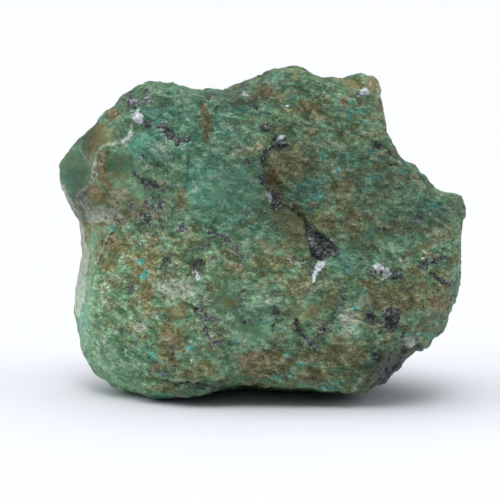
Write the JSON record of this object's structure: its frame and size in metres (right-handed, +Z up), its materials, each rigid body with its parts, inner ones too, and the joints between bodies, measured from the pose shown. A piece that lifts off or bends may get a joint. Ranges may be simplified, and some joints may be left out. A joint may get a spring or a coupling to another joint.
{
  "type": "chrysocolla specimen",
  "caption": "Hand-sized block of green, copper-stained rock with a broad broken front face, knapped flanks and back, resting on a flat underside",
  "frame": {"origin": "centre of the bounding box at its bottom, on the plane of the flat resting face", "axes": "+X to the right across the broad broken face, +Y from that face to the back of the stone, +Z up"},
  "size_m": [0.122, 0.0684, 0.0996],
  "materials": {
    "stone": "rough broken rock: green and blue-green copper silicate with olive-brown iron oxide, dark metallic-grey veins and small pale glinting crystals; dull to waxy, not plastic"
  },
  "bodies": {
    "root": {"chrysocolla_stone": "stone"}
  },
  "joints": []
}
